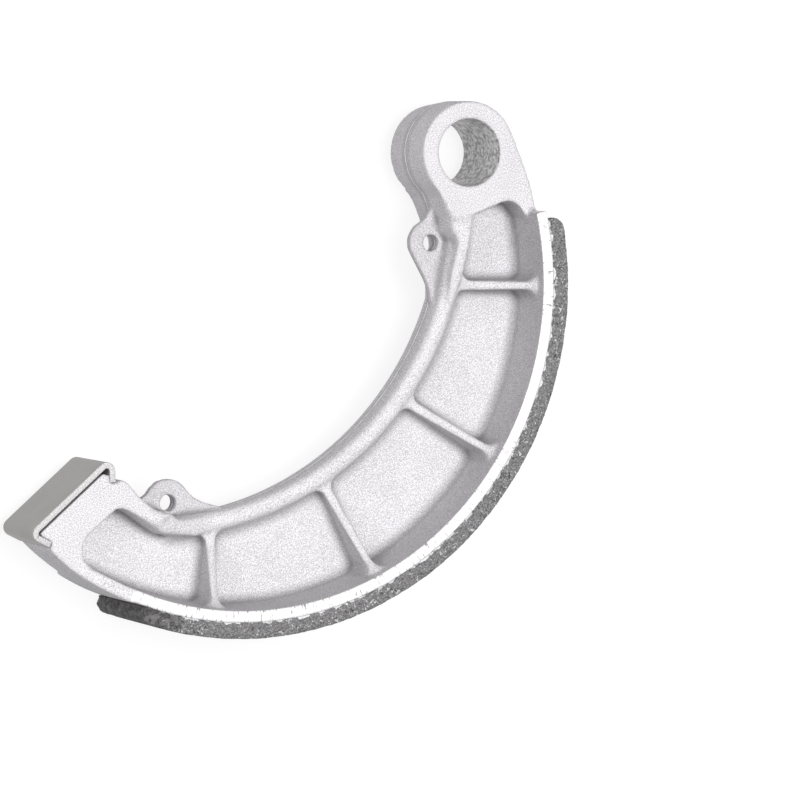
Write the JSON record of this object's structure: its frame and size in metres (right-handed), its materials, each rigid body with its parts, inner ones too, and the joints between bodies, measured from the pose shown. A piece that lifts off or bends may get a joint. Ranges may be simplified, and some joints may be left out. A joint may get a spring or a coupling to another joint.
{
  "type": "brake shoe",
  "caption": "Cast drum brake shoe with a bonded friction lining, a pivot boss with a plain bore, eyes for the return springs and a steel-capped cam end.",
  "frame": {"origin": "centre of the pivot bore, at half the shoe's width", "axes": "+Z along the pivot bore, out of the face that shows; +X from the pivot towards the cam end, with the drum axis on it; +Y towards the lining"},
  "size_m": [0.1484, 0.0921, 0.03],
  "materials": {
    "cast_alloy": "shot-blasted casting, machined along the sides of the table",
    "friction_compound": "sawn and ground friction compound with light flecks",
    "cap_steel": "bare pressed steel"
  },
  "bodies": {
    "root": {"shoe_casting": "cast_alloy", "friction_lining": "friction_compound", "cam_wear_cap": "cap_steel"}
  },
  "joints": []
}
